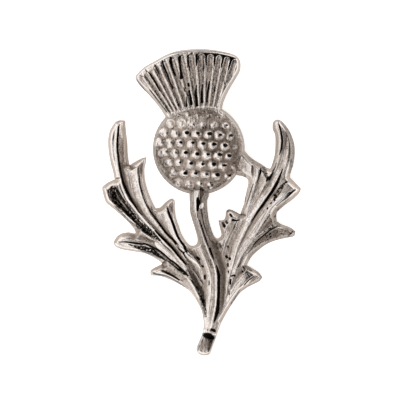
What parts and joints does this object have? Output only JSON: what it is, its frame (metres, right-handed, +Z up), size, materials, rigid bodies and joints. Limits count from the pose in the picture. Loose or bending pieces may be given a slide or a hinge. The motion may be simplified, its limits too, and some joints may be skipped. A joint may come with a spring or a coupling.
{
  "type": "thistle brooch",
  "caption": "Cast metal brooch in the shape of a thistle: fluted fan flower, studded globe, stem with a plain tail, two lobed leaves and a plain pin on the back.",
  "frame": {"origin": "on the table, under the middle of the brooch's bounding box as it lies face up", "axes": "+Y from the tail to the flower, +X to the right seen from the front, +Z up out of the face; the flower end is raised, because the brooch rests on its pin and on the end of its tail"},
  "size_m": [0.0402, 0.0618, 0.0091],
  "materials": {
    "cast_metal": "polished casting",
    "pin_metal": "satin"
  },
  "bodies": {
    "root": {"thistle_casting": "cast_metal", "brooch_pin": "pin_metal"}
  },
  "joints": []
}
